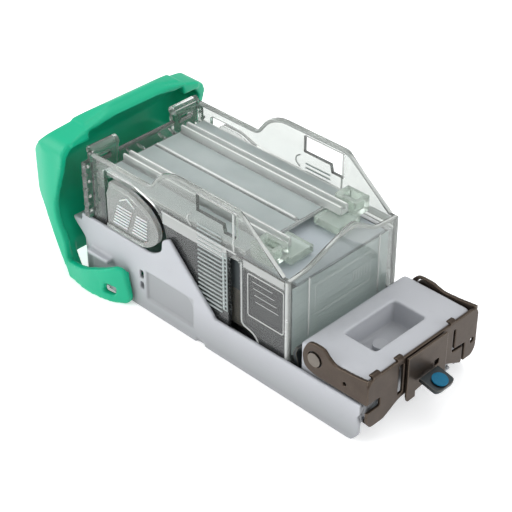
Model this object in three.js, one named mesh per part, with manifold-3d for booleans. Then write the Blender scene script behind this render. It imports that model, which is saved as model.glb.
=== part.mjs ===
// Plug-in staple cartridge of an electric stapler, in millimetres.
// +X points to the head, +Z up, origin under the middle of the whole cartridge.
import * as THREE from 'three';
import { mergeVertices } from 'three/addons/utils/BufferGeometryUtils.js';
import Module from 'manifold-3d';

const wasm = await Module();
wasm.setup();

// ---- driving dimensions ----
const gap = 0.3; // clearance kept between neighbouring pieces
const overallLength = 150; // handle's back to lift tab's tip
const frameHalfWidth = 25; // outer faces of the side plates
const plateWall = 1.3; // side plate thickness
const floorTop = 1.8;
const ledgeTop = 11.3; // the refill case stands on this ledge
const railTop = 13; // at the middle of the side plates
const railTip = 14.3; // at the front end
const railInner = 22; // inner faces of the thick lower rails
const frameRear = -53.7;
const railFront = 65;

const caseRear = -50.5;
const caseFront = 35.5;
const caseHalfWidth = 23.4;
const caseWall = 1.3;
const caseBottom = ledgeTop + gap;
const caseTop = 46.7;
const frontCornerTop = 40.9;
const earTop = 55.4;

const stackRear = -16.2;
const stackHalfWidth = 20.8;
const stackBottom = 12.9;
const stackTop = 36.6;
const lidBottom = 40.2;
const lidTop = 41.4;

const handleRear = -overallLength / 2;
const handleHalfWidth = 32;
const handleTop = 55.4;
const handleWall = 2.4;
const handleInnerWidth = frameHalfWidth + gap;

const headRear = 39.6;
const headFront = 64.6;
const headHalfWidth = 23;
const headTop = 22;
const headBottom = 3.4;
const driveSlotX = 61.3; // forming and driving plates work in front of this face
const trackTop = 9.4;
const pawlX = -1;
const pawlZ = 6.2;
const pawlPinRadius = 0.5;
const screwX = 53;
const screwY = 10;
const screwShank = 1.1;
const screwBore = screwShank + gap;

const pivotX = 46.5;
const pivotZ = 20.5;
const pinRadius = 2.3;
const pinShank = 0.8;
const facePlateInner = 65.5;
const facePlateWall = 1;
const armInner = 23.4;
const armWall = 1.1;
const armBottom = railTip + 0.6;
const gateX = facePlateInner + facePlateWall + gap;
const gateWall = 0.9;
const tabSlope = THREE.MathUtils.degToRad(12);
const tabRoot = gateX + gateWall + gap;
const tabWall = 1.3;
const tabLength = (overallLength / 2 - tabRoot - tabWall * Math.sin(tabSlope)) / Math.cos(tabSlope);

// ---- materials ----
function material(color, roughness, metalness = 0) {
  return { color, roughness, metalness };
}
const milky = material(0xc4c8cc, 0.5);
const green = material(0x2fc890, 0.4);
const clear = material(0xdfe6e2, 0.12);
const tinted = material(0xb4dcc0, 0.15);
const steel = material(0x8b8d90, 0.35, 1);
const darkSteel = material(0x55585a, 0.45, 0.9);
const bronze = material(0x6f6256, 0.45, 0.8);
const blue = material(0x1f7fa5, 0.4);
const white = material(0xe4e7ea, 0.45);

// ---- solids ----
function solid(geometry) {
  geometry.deleteAttribute('normal');
  geometry.deleteAttribute('uv');
  const merged = mergeVertices(geometry, 1e-5);
  const vertProperties = new Float32Array(merged.attributes.position.array);
  const triVerts = new Uint32Array(merged.index.array);
  return new wasm.Manifold(new wasm.Mesh({ numProp: 3, vertProperties, triVerts }));
}

function box(x0, x1, y0, y1, z0, z1) {
  const geometry = new THREE.BoxGeometry(x1 - x0, y1 - y0, z1 - z0);
  geometry.translate((x0 + x1) / 2, (y0 + y1) / 2, (z0 + z1) / 2);
  return solid(geometry);
}

// Outline from corner points [a, b] or [a, b, r], where r rounds the corner.
function outline(points) {
  const shape = new THREE.Shape();
  const count = points.length;
  const corners = points.map(([a, b]) => new THREE.Vector2(a, b));
  for (let i = 0; i < count; i += 1) {
    const corner = corners[i];
    const toPrevious = corners[(i + count - 1) % count].clone().sub(corner);
    const toNext = corners[(i + 1) % count].clone().sub(corner);
    const reach = Math.min(points[i][2] || 0, 0.45 * toPrevious.length(), 0.45 * toNext.length());
    const start = corner.clone().addScaledVector(toPrevious, reach / toPrevious.length());
    const end = corner.clone().addScaledVector(toNext, reach / toNext.length());
    if (i === 0) shape.moveTo(start.x, start.y);
    else shape.lineTo(start.x, start.y);
    if (reach > 0) shape.quadraticCurveTo(corner.x, corner.y, end.x, end.y);
  }
  shape.closePath();
  return shape;
}

function extrude(shape, depth, curveSegments) {
  return new THREE.ExtrudeGeometry(shape, { depth, bevelEnabled: false, curveSegments });
}

function turned(geometry, xAxis, yAxis, zAxis) {
  const basis = new THREE.Matrix4().makeBasis(
    new THREE.Vector3(...xAxis), new THREE.Vector3(...yAxis), new THREE.Vector3(...zAxis));
  return geometry.applyMatrix4(basis);
}

// Outline in (y, z), from x0 to x1.
function alongX(points, x0, x1, segments = 4) {
  const geometry = turned(extrude(outline(points), x1 - x0, segments), [0, 1, 0], [0, 0, 1], [1, 0, 0]);
  return solid(geometry.translate(x0, 0, 0));
}

// Outline in (x, z), from y0 to y1.
function alongY(points, y0, y1, segments = 4) {
  const geometry = turned(extrude(outline(points), y1 - y0, segments), [1, 0, 0], [0, 0, 1], [0, -1, 0]);
  return solid(geometry.translate(0, y1, 0));
}

// Outline in (x, y), from z0 to z1.
function alongZ(points, z0, z1, segments = 4) {
  return solid(extrude(outline(points), z1 - z0, segments).translate(0, 0, z0));
}

// Cylinder from one end point to the other.
function rod(radius, from, to, sides = 20) {
  const start = new THREE.Vector3(...from);
  const axis = new THREE.Vector3(...to).sub(start);
  const geometry = new THREE.CylinderGeometry(radius, radius, axis.length(), sides);
  geometry.translate(0, axis.length() / 2, 0);
  const turn = new THREE.Quaternion().setFromUnitVectors(new THREE.Vector3(0, 1, 0), axis.normalize());
  geometry.applyQuaternion(turn);
  return solid(geometry.translate(start.x, start.y, start.z));
}

// Half outline with its mirror image: flip 0 mirrors the first coordinate, flip 1 the second.
function withMirror(half, flip = 0) {
  const mirror = ([a, b, r]) => (flip === 0 ? [-a, b, r] : [a, -b, r]);
  const other = half.filter((point) => point[flip] !== 0).map(mirror).reverse();
  return [...half, ...other];
}

function bothSides(make) {
  return make(1).add(make(-1));
}

// y range of a wall on the given side, ordered low to high.
function span(side, inner, outer) {
  return side > 0 ? [inner, outer] : [-outer, -inner];
}

// ---- pieces ----
const sliver = 0.01; // edges shorter than this, left by cuts, are merged away
const cartridge = new THREE.Group();

function piece(name, body, look, parent = cartridge) {
  const mesh = body.simplify(sliver).getMesh();
  const geometry = new THREE.BufferGeometry();
  geometry.setAttribute('position', new THREE.BufferAttribute(new Float32Array(mesh.vertProperties), 3));
  geometry.setIndex(new THREE.BufferAttribute(new Uint32Array(mesh.triVerts), 1));
  geometry.computeVertexNormals();
  const node = new THREE.Mesh(geometry, new THREE.MeshStandardMaterial(look));
  node.name = name;
  parent.add(node);
  return node;
}

const sides = [['left', 1], ['right', -1]];

// Bore that takes a head screw through the floor of the frame and into the head.
function screwHole(side) {
  return rod(screwBore, [screwX, side * screwY, 0], [screwX, side * screwY, 5], 12);
}

// ---- channel frame ----
const padNotch = [[-21.4, 23.4, 2], [-16.4, 26.4, 3], [-15.9, 31, 1]];

function sidePlateOutline() {
  return [
    [-50, 0], [-2.2, 0], [-1.6, 2], [1.2, 2], [1.8, 0], [61.3, 0, 1], [64, 3.4, 0.5], [64, 8],
    [63.2, 9.4], [railFront, 12.6], [railFront, railTip, 0.5], [6.2, railTop, 1],
    [5.8, 14], [-5.8, 25.5, 2], [-10, 29.8, 2], [-12.8, 32.8, 0.8],
    ...[...padNotch].reverse(), [-54, 23.4], [-54.4, 20.6], [-58.6, 20.6, 0.5], [-58.4, 19.4, 0.5],
    [-53.7, 15], [-51.2, 11], [-50, 9],
  ];
}

function snapLug(side) {
  const [y0, y1] = span(side, frameHalfWidth - 0.5, 28.4);
  return alongY([[-38.6, 3.4], [-35.2, 3.2], [-35, 5.6], [-37.7, 6.3]], y0, y1);
}

function channelSide(side) {
  const [y0, y1] = span(side, frameHalfWidth - plateWall, frameHalfWidth);
  const [r0, r1] = span(side, railInner, frameHalfWidth - 0.7);
  const [p0, p1] = span(side, frameHalfWidth - 0.7, frameHalfWidth + 1);
  const [s0, s1] = span(side, railInner - 1, frameHalfWidth + 1);
  const [t0, t1] = span(side, frameHalfWidth - 0.2, 27.4);
  const [h0, h1] = span(side, railInner - 1, headHalfWidth + gap);
  const plate = alongY(sidePlateOutline(), y0, y1)
    .subtract(alongY([[-24, 5], [-3, 5], [-3, 13, 1], [-5, 15.5, 1], [-24, 15.5]], p0, p1));
  const sideSlots = box(-27.2, -25.4, s0, s1, 11.6, 14.8).add(box(-27.2, -25.4, s0, s1, 7.6, 10.4));
  const rail = box(frameRear, 61.3, r0, r1, 0, ledgeTop);
  const headSeat = box(headRear - gap, 70, h0, h1, ledgeTop - 3, 20);
  const tab = box(-50, -40, t0, t1, 11, 12.6);
  return plate.add(rail).add(tab).add(snapLug(side)).subtract(headSeat).subtract(sideSlots);
}

function trackRibs() {
  const rib = (side) => box(-40, 38, ...span(side, 15, 16.5), floorTop - 0.3, 8.4);
  return bothSides(rib);
}

function channelFrame() {
  const floor = box(frameRear, 58, -railInner - 0.5, railInner + 0.5, 0, floorTop);
  const rearWall = box(frameRear, frameRear + 1.5, -frameHalfWidth + 0.5, frameHalfWidth - 0.5, 0, 20);
  const shelf = box(-58.4, frameRear + 1.5, -frameHalfWidth + 0.2, frameHalfWidth - 0.2, 19.4, 20.6);
  const springPost = box(27, 28.5, -8, 8, floorTop - 0.3, 7.6);
  const screwHead = (side) => rod(2.6, [screwX, side * screwY, -1], [screwX, side * screwY, 1.9], 16);
  const driveWindow = alongZ([[-12, -9, 2], [12, -9, 2], [12, 9, 2], [-12, 9, 2]], -1, floorTop + 1);
  const frontPost = box(50, 56, -12, 12, floorTop - 0.3, 3.2);
  return bothSides(channelSide).add(floor).add(rearWall).add(shelf).add(trackRibs())
    .add(springPost).add(frontPost).subtract(driveWindow)
    .subtract(bothSides(screwHead)).subtract(bothSides(screwHole));
}

// ---- handle ----
function handleSideOutline(inset) {
  return [
    [-53.4 + inset * 4, handleTop - 4.2 - inset], [-53.6 + inset * 4, handleTop - 2 - inset],
    [-56.2, handleTop - inset, 1.5], [-59.6, handleTop - 1.4 - inset, 3], [-65 + inset, 48.8 - inset, 4],
    [-71.2 + inset, 41.5 - inset / 2, 4], [handleRear + inset, 35.5, 3], [handleRear + inset, 33, 3],
    [-65.2 + inset, 21.5, 4], [-59.6 + inset, 7.4, 3], [-56.2 + inset, 0], [-20, 0],
    [-20, handleTop - 4.2 - inset],
  ];
}

function handlePlanOutline(inset) {
  const nose = Math.max(26.4 - inset, handleInnerWidth);
  return withMirror([
    [handleRear + inset, 13 - inset, 6], [-74 + inset, 23.6 - inset, 5], [-71 + inset, 29 - inset, 3],
    [-63 + inset, 31.2 - inset, 4], [-57, 30.4 - inset, 3], [-46, handleHalfWidth - inset, 6],
    [-37, 30.6 - inset, 3], [-28.5, nose],
  ], 1);
}

function handleFrontOutline(inset) {
  return withMirror([
    [handleHalfWidth - inset, -1], [handleHalfWidth - inset, 14], [handleHalfWidth - inset, 41.5 - inset, 5],
    [29.8 - inset, 49.6 - inset, 4], [21, 52.4 - inset, 4], [6, handleTop + 0.2 - inset, 6],
  ]);
}

// Front edge of the hollow handle, with the arm running forward below.
function handleMouth() {
  return alongY([
    [-53.9, handleTop - 4.4, 0.5], [-55, 43.7, 3], [-57.9, 35, 3], [-60.3, 26.3, 3], [-59.9, 20.6, 2],
    [-57, 13, 1], [-56.5, 5.8, 1], [-48.8, 7.6, 3], [-38.6, 11.8, 2], [-33.8, 14.1, 1], [-31.6, 13.4, 1],
    [-31, 8.5, 1], [-29.9, 3.2, 1], [-30.8, 0.5, 1], [-37, -0.5], [-15, -0.5], [-15, 60], [-53.6, 60],
    [-53.2, handleTop - 2],
  ], -40, 40);
}

function armSlots(side) {
  const [y0, y1] = span(side, 20, 40);
  const thin = box(-40.6, -39.8, y0, y1, 2.3, 7);
  const window = alongY([[-39.2, 3], [-34.8, 2.7], [-34.4, 6], [-38, 6.9]], y0, y1);
  return thin.add(window);
}

// Common part of the side, plan and front views, all moved in by the inset.
function handleBody(inset, bottom) {
  return alongY(handleSideOutline(inset), -40, 40, 5)
    .intersect(alongZ(handlePlanOutline(inset), bottom, 60, 5))
    .intersect(alongX(handleFrontOutline(inset), -80, -10, 6));
}

function handleShell() {
  const outer = handleBody(0, 0);
  const inner = handleBody(handleWall, -5);
  const roomTop = handleTop - 4.4;
  const frameRoom = alongX(withMirror([
    [handleInnerWidth, -5], [handleInnerWidth, roomTop - 4], [handleInnerWidth - 4, roomTop],
  ]), -58.8, 0);
  const armRib = (side) => box(-32.4, -28, ...span(side, handleInnerWidth, 29), 1, 12);
  const cornerWeb = (side) => box(-57, -53.4, ...span(side, 20, 27), handleTop - 7, handleTop - 4);
  const topPad = box(-62, -53.2, -20, 20, handleTop - 5, handleTop + 0.6)
    .intersect(alongY(handleSideOutline(-0.6), -40, 40, 5))
    .intersect(alongX(handleFrontOutline(-0.6), -80, -10, 6));
  return outer.subtract(inner).add(bothSides(armRib).intersect(outer))
    .add(topPad.subtract(inner)).subtract(frameRoom).subtract(handleMouth()).subtract(bothSides(armSlots))
    .add(bothSides(cornerWeb).intersect(outer));
}

// ---- refill case ----
function caseSideOutline() {
  return [
    [caseRear, caseBottom], [10.9, caseBottom], [10.9, 38, 1], [15.8, 38, 1], [16, 16, 1], [21.6, 15, 1.5],
    [22.8, 13.4, 1], [22.8, caseBottom], [caseFront, caseBottom], [caseFront, frontCornerTop],
    [32.6, frontCornerTop], [15.6, earTop, 1], [-12, earTop, 2.5], [-17.6, 53, 2], [-22.2, caseTop],
    [caseRear, caseTop],
  ];
}

const padOutline = [
  [-42, 23.7], [-24, 23.7, 4], [-18.2, 28.5, 4], [-17.6, 33, 3], [-21.5, 38.3, 4], [-30.5, 41.6, 2],
  [-39.5, 41.6, 1], [-42, 36],
];

const padWindow = [
  [-43.4, 14], [-15.6, 14, 2], [-15.4, 34, 3], [-19.4, 40.4, 3], [-30, 43.6, 2], [-43.4, 43.6, 1],
];

const earWindow = [[-1.8, 47.8], [9.1, 47.8], [9.7, 45.2], [14.6, 45.2], [14.6, 53.6], [-1.8, 53.6]];

function caseSide(side) {
  const [y0, y1] = span(side, caseHalfWidth - caseWall, caseHalfWidth);
  const [c0, c1] = span(side, caseHalfWidth - 4, caseHalfWidth + 2);
  const [l0, l1] = span(side, 19.4, caseHalfWidth);
  const wall = alongY(caseSideOutline(), y0, y1, 3)
    .subtract(alongY(padWindow, c0, c1, 3)).subtract(alongY(earWindow, c0, c1));
  const lip = box(stackRear, 8, l0, l1, caseBottom, stackBottom - gap);
  const [e0, e1] = span(side, 20.6, caseHalfWidth - 0.4);
  const frontRest = box(-14, 8, e0, e1, lidBottom - 1.2, lidBottom - gap);
  const rearRest = box(-50, -44, e0, e1, lidBottom - 1.2, lidBottom - gap);
  return wall.add(lip).add(frontRest).add(rearRest);
}

function frontHump() {
  return alongX([
    [-caseHalfWidth, caseBottom], [caseHalfWidth, caseBottom], [caseHalfWidth, frontCornerTop],
    [14, frontCornerTop + 0.8, 1], [3.5, 48.4, 2], [-7, 45, 4], [-16, frontCornerTop + 0.6, 3],
    [-caseHalfWidth, frontCornerTop],
  ], caseFront - caseWall, caseFront, 6);
}

function rearTab(side) {
  const [y0, y1] = span(side, 12, 22.6);
  const plate = box(caseRear - 1.3, caseRear + 1.3, y0, y1, 38, 46.8);
  const window = box(caseRear - 3, caseRear + 3, ...span(side, 14.6, 19.8), 41.6, 44.4);
  const roll = rod(1.8, [caseRear, y0, 46.7], [caseRear, y1, 46.7], 16);
  return plate.subtract(window).add(roll);
}

function rearFlange(side) {
  return box(caseRear - 1, caseRear + 1, ...span(side, caseHalfWidth - 2, frameHalfWidth + 0.5), 23.8, 43.6);
}

function refillCase() {
  const rearWall = box(caseRear, caseRear + caseWall, -caseHalfWidth, caseHalfWidth, caseBottom, 43);
  const crossWall = box(-18.6, -17.2, -19, 19, caseBottom, 37.6);
  const crossFoot = box(-18.6, stackRear - gap, -caseHalfWidth + 0.4, caseHalfWidth - 0.4, caseBottom, 13.6);
  return bothSides(caseSide).add(frontHump()).add(rearWall).add(crossWall).add(crossFoot)
    .add(bothSides(rearTab)).add(bothSides(rearFlange));
}

function refillLid() {
  const panel = box(-46, 17, -21.4, 21.4, lidBottom, lidTop);
  const rail = (side) => box(-45, 24, ...span(side, 10.6, 14), lidTop - 0.3, lidTop + 3)
    .subtract(box(-46, 25, ...span(side, 11.6, 13), lidTop + 1.6, lidTop + 4))
    .subtract(box(17, 30, ...span(side, 10, 15), lidTop - 1, lidTop + gap));
  const ridge = box(-45, 16, -0.5, 0.5, lidTop - 0.3, lidTop + 0.8);
  return panel.add(bothSides(rail)).add(ridge);
}

function guideBlock(side) {
  const [y0, y1] = span(side, 14.4, 20.6);
  const [s0, s1] = span(side, 5.4, 14);
  const body = box(18, 26.6, y0, y1, lidBottom, 45.4);
  const foot = box(18, 28, s0, s1, lidBottom - 1.4, lidTop);
  const link = box(18, 28, ...span(side, 13.5, 15), lidBottom - 1.4, lidTop);
  const recess = box(20, 25, ...span(side, 16, 19.4), lidTop, 50);
  return body.add(foot).add(link).subtract(recess);
}

function squeezePad(side) {
  const [y0, y1] = span(side, 22.8, 24);
  const [r0, r1] = span(side, 23.9, 24.5);
  const [c0, c1] = span(side, 23, 26);
  const rim = alongY(padOutline, r0, r1)
    .subtract(alongY([[-60, 25.2], [-25, 25.2, 3], [-20, 29.5, 3], [-19.6, 33, 2], [-23, 36.6, 3],
      [-31, 39.8, 1], [-60, 39.8]], c0, c1));
  return alongY(padOutline, y0, y1).add(rim);
}

// ---- staples, pressure plate and feed ----
function stapleStack() {
  return box(stackRear, 33.8, -stackHalfWidth, stackHalfWidth, stackBottom, stackTop);
}

function pressurePlate() {
  const plate = box(stackRear, 33.6, -19, 19, stackTop + 0.2, stackTop + 1.1);
  const stiffener = (side) => box(-14, 12, ...span(side, 16, 18), stackTop + 1, stackTop + 2);
  return plate.add(bothSides(stiffener));
}

class ConicalCoil extends THREE.Curve {
  constructor(centre, height, turns, innerRadius, outerRadius) {
    super();
    Object.assign(this, { centre, height, turns, innerRadius, outerRadius });
  }

  getPoint(t, target = new THREE.Vector3()) {
    const angle = t * this.turns * 2 * Math.PI;
    const radius = THREE.MathUtils.lerp(this.outerRadius, this.innerRadius, t);
    const [x, y, z] = this.centre;
    return target.set(x + radius * Math.cos(angle), y + radius * Math.sin(angle), z + t * this.height);
  }
}

function coil(curve, wire, stepsPerTurn = 12, wireSides = 6) {
  const section = new THREE.Shape();
  section.absarc(0, 0, wire, 0, 2 * Math.PI);
  const steps = Math.round(curve.turns * stepsPerTurn);
  const options = { extrudePath: curve, steps, bevelEnabled: false, curveSegments: wireSides };
  return solid(new THREE.ExtrudeGeometry(section, options));
}

function pressureSpring(x) {
  const [turns, innerRadius, outerRadius, wire] = [3, 3, 7.6, 0.3];
  return coil(new ConicalCoil([x, 0, stackTop + 1.65], 1.5, turns, innerRadius, outerRadius), wire);
}

function feedTrack() {
  const plate = box(-44, 57, -19.4, 19.4, trackTop - 0.6, trackTop);
  const slot = (side) => box(-4, 18, ...span(side, 6, 8.6), trackTop - 2, trackTop + 1);
  return plate.subtract(bothSides(slot));
}

function feedSlider() {
  const plate = box(-20, 20, -10.4, 10.4, 3, 4.6);
  const ear = (side) => box(pawlX - 3, pawlX + 3, ...span(side, 9.2, 10.4), 4.4, 7.6);
  const tail = box(-20, -18.6, -6, 6, 4.4, 7);
  return plate.add(bothSides(ear)).add(tail).subtract(bothSides(pawlHole));
}

function pawlHole(side) {
  return rod(pawlPinRadius + gap, [pawlX, side * 5, pawlZ], [pawlX, side * 12, pawlZ], 10);
}

function pawlPin(side) {
  return rod(pawlPinRadius, [pawlX, side * 5.8, pawlZ], [pawlX, side * 10.8, pawlZ], 10);
}

function feedPawl(side) {
  const body = alongY([[-3.2, 5.6], [-2.2, 4.9], [1, 4.9], [11.4, 6.6], [12, 8.4], [10.6, 8.4], [1, 7.6],
    [-2.2, 7.6], [-3.2, 6.8]], ...span(side, 6.4, 8.2));
  return body.subtract(pawlHole(side));
}

// ---- head ----
function headBlock() {
  const upper = alongZ([
    [headRear, -headHalfWidth, 1.5], [headFront, -headHalfWidth, 2], [headFront, headHalfWidth, 2],
    [headRear, headHalfWidth, 1.5],
  ], ledgeTop - 2.6, headTop, 3);
  const lower = box(headRear + 2, driveSlotX, -railInner + 0.4, railInner - 0.4, headBottom, 12);
  const pocket = alongZ([[45.6, -11, 1], [57.5, -11, 1], [57.5, 11, 1], [45.6, 11, 1]], 14, headTop + 2);
  const passage = box(headRear - 5, 70, -20.2, 20.2, headBottom + 0.6, 11.6);
  const driveSlot = box(driveSlotX, 70, -18.6, 18.6, 2, 18);
  const springSeat = (side) => box(60, 64.2, ...span(side, 13, 16.2), headBottom, headBottom + 0.8);
  const pinHole = (side) => rod(pinShank + gap, [pivotX, side * 18, pivotZ], [pivotX, side * 30, pivotZ], 12);
  return upper.add(lower).subtract(pocket).subtract(passage).subtract(driveSlot).add(bothSides(springSeat))
    .subtract(bothSides(pinHole)).subtract(bothSides(screwHole));
}

function formingPlate() {
  return alongX(withMirror([
    [0, 17.4], [17.4, 17.4], [17.4, 12.2], [10.8, 12.2], [10.8, 10], [8.4, 10], [8.4, 16.2], [0, 16.2],
  ]), 61.8, 62.6);
}

function formingSpring(side) {
  const [height, turns, radius, wire] = [7.3, 5, 1, 0.22];
  const foot = [62.9, side * 14.6, headBottom + 1.1];
  return coil(new ConicalCoil(foot, height, turns, radius, radius), wire, 10, 5);
}

function facePlateFront() {
  const plate = alongX(withMirror([
    [0, 23.6], [22, 23.6, 1], [24.5, 22, 1], [24.5, 8.6, 2], [22.8, 6.4, 1], [17.2, 6.4, 0.5],
    [10.6, 9.8, 2], [0, 10.6],
  ]), facePlateInner, facePlateInner + facePlateWall);
  const [x0, x1] = [facePlateInner - 1, facePlateInner + 2];
  const verticalSlot = box(x0, x1, -11.4, -9.3, 11.4, 21.8);
  const angleSlit = alongX([
    [13, 20.9], [14, 20.9], [14, 13.6], [18.9, 13.2], [18.9, 5], [17.9, 5], [17.9, 12.3], [13, 12.7],
  ], x0, x1);
  const squareHole = box(x0, x1, 21.7, 23.3, 11.2, 12.9);
  const sideNotch = box(x0, x1, -26, -19, 12.3, 15.4);
  const footLip = (side) => box(63.4, facePlateInner + 0.4, ...span(side, 19.3, 22.6), 6.4, 7.4);
  return plate.subtract(verticalSlot).subtract(angleSlit).subtract(squareHole).subtract(sideNotch)
    .add(bothSides(footLip));
}

function facePlateArm(side) {
  const crown = side > 0 ? 23.6 : 25.8; // the left arm's round end is lower
  const [y0, y1] = span(side, armInner, armInner + armWall);
  const [c0, c1] = span(side, 20, 30);
  return alongY([
    [41.6, 20.6, 2], [42.6, 16, 2], [47, armBottom, 2], [facePlateInner + 0.5, armBottom],
    [facePlateInner + 0.5, 23.6],
    [60, 22.8, 2], [54, 22.4, 2], [51.6, (22.4 + crown) / 2, 1], [50, crown, 1], [44, crown, 2],
  ], y0, y1).subtract(rod(pinRadius + gap, [pivotX, c0, pivotZ], [pivotX, c1, pivotZ]))
    .subtract(rod(0.7, [57.8, c0, 18.2], [57.8, c1, 18.2], 8));
}

function facePlate() {
  return bothSides(facePlateArm).add(facePlateFront());
}

function gatePlate() {
  const plate = alongX(withMirror([
    [0, 23.4], [8.7, 23.4], [8.7, 9.4], [8.2, 7.6], [4.8, 7.6], [4.8, 9.8], [0, 10.4],
  ]), gateX, gateX + gateWall);
  return plate.subtract(box(gateX - 1, gateX + 2, 3.2, 5.2, 14, 16.2));
}

function liftTab() {
  return alongZ(withMirror([[0, 4.2], [tabLength - 0.6, 4.2, 1.8], [tabLength, 2.6, 1]], 1), 0, tabWall);
}

function pivotPin(side) {
  const shank = rod(pinShank, [pivotX, side * 18.4, pivotZ], [pivotX, side * (armInner + 0.4), pivotZ], 12);
  return shank.add(rod(pinRadius, [pivotX, side * (armInner + 0.1), pivotZ], [pivotX, side * 24.9, pivotZ]));
}

function headScrew(side) {
  const shank = rod(screwShank, [screwX, side * screwY, 1.2], [screwX, side * screwY, 5], 12);
  const head = rod(2.2, [screwX, side * screwY, 0.5], [screwX, side * screwY, 1.6], 16);
  const socket = rod(1.1, [screwX, side * screwY, 0], [screwX, side * screwY, 1.1], 6);
  return shank.add(head).subtract(socket);
}

function caseClip(side) {
  return alongY([
    [36, 11.7], [39, 11.7], [39, 13.6, 0.8], [38, 17, 0.8], [38.8, 19.2], [38, 19.4], [36.8, 16.8, 0.6],
    [37.6, 13.4, 0.5], [36, 13.2],
  ], ...span(side, 20.2, 23));
}

function feedLeafSpring() {
  return alongZ([[26.7, -7], [26.7, 7], [26.3, 7], [25, 0, 3], [26.3, -7]], 3.2, 7.2);
}

function endGuide(side) {
  return box(41, 57, ...span(side, 18.6, 19.9), trackTop + gap, 11.3);
}

// ---- assembly ----
piece('frame_channel', channelFrame(), milky);
piece('handle_shell', handleShell(), green);
piece('head_block', headBlock(), milky);
piece('pocket_boss', rod(2.4, [51, -1, 14.1], [51, -1, 15.4], 16), white);
piece('feed_track', feedTrack(), steel);
piece('feeding_sheet', box(2, 61.1, -18.3, 18.3, trackTop + 0.2, trackTop + 0.7), darkSteel);
piece('bending_anvil', box(57.4, 61, -7.8, 7.8, headBottom + 0.8, trackTop), steel);
piece('feed_leaf_spring', feedLeafSpring(), steel);

piece('refill_case', refillCase(), clear);
piece('refill_lid', refillLid(), clear);
piece('staple_stack', stapleStack(), darkSteel);
piece('pressure_plate', pressurePlate(), milky);
piece('pressure_spring_front', pressureSpring(6), steel);
piece('pressure_spring_rear', pressureSpring(-10), steel);
piece('feed_slider', feedSlider(), darkSteel);

piece('forming_plate', formingPlate(), steel);
piece('driver_plate', box(62.9, 63.8, -8, 8, 10, 17.6), steel);
piece('face_plate', facePlate(), bronze);
piece('gate_plate', gatePlate(), bronze);

for (const [side, sign] of sides) {
  piece(`pivot_pin_${side}`, pivotPin(sign), steel);
  piece(`head_screw_${side}`, headScrew(sign), darkSteel);
  piece(`case_clip_${side}`, caseClip(sign), darkSteel);
  piece(`end_guide_${side}`, endGuide(sign), steel);
  piece(`guide_block_${side}`, guideBlock(sign), tinted);
  piece(`squeeze_pad_${side}`, squeezePad(sign), clear);
  piece(`feed_pawl_${side}`, feedPawl(sign), steel);
  piece(`pawl_pin_${side}`, pawlPin(sign), steel);
  piece(`forming_spring_${side}`, formingSpring(sign), steel);
}

// The tab and its dot share one slope.
const tabGroup = new THREE.Group();
tabGroup.position.set(tabRoot, 0, 13);
tabGroup.rotation.y = tabSlope;
cartridge.add(tabGroup);
piece('lift_tab', liftTab(), darkSteel, tabGroup);
piece('blue_dot', rod(2.5, [4.1, 0, 1.6], [4.1, 0, 2], 24), blue, tabGroup);

export default cartridge;
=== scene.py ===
# Looks of the staple cartridge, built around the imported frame.
# Lengths in the dictionaries are millimetres, colours are red, green and blue from 0 to 255.
import math
import random

import bmesh
import bpy
from mathutils import Matrix, Vector


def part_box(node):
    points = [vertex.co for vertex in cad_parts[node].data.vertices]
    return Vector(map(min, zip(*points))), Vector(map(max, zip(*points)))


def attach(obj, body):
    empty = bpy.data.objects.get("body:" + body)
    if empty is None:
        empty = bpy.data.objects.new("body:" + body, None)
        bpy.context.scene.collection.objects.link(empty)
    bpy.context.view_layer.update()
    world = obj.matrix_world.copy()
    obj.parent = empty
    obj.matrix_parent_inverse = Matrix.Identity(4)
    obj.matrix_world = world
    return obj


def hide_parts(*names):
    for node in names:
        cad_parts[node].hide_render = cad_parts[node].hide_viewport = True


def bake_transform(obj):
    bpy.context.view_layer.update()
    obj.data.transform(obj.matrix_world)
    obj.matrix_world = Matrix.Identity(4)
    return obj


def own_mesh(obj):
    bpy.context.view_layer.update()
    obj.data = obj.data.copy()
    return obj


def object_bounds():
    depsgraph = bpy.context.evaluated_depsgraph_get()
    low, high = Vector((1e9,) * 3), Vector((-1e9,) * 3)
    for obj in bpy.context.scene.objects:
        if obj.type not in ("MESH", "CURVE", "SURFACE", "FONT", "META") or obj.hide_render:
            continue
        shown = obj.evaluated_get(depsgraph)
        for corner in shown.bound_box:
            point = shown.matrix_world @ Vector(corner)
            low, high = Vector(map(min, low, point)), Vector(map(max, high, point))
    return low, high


mm = 0.001
sides = (("left", 1), ("right", -1))  # left is +Y

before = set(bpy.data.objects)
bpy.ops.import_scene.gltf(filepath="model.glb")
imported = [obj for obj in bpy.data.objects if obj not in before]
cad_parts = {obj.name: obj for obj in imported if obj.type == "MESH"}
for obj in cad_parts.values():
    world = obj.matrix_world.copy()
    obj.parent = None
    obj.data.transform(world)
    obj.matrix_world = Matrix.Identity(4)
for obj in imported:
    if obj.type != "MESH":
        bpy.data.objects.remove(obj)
cadLow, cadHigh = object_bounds()
print("frame loaded:", len(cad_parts), "nodes")


def linear(color):
    values = [c / 255 for c in color]
    return (*[c / 12.92 if c <= 0.04045 else ((c + 0.055) / 1.055) ** 2.4 for c in values], 1.0)


# A socket that takes part in arithmetic.
class Wire:
    def __init__(self, shade, socket):
        self.shade = shade
        self.socket = socket

    def __add__(self, other):
        return self.shade.number("ADD", self, other)

    def __radd__(self, other):
        return self.shade.number("ADD", other, self)

    def __sub__(self, other):
        return self.shade.number("SUBTRACT", self, other)

    def __rsub__(self, other):
        return self.shade.number("SUBTRACT", other, self)

    def __mul__(self, other):
        return self.shade.number("MULTIPLY", self, other)

    def __rmul__(self, other):
        return self.shade.number("MULTIPLY", other, self)


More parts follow.
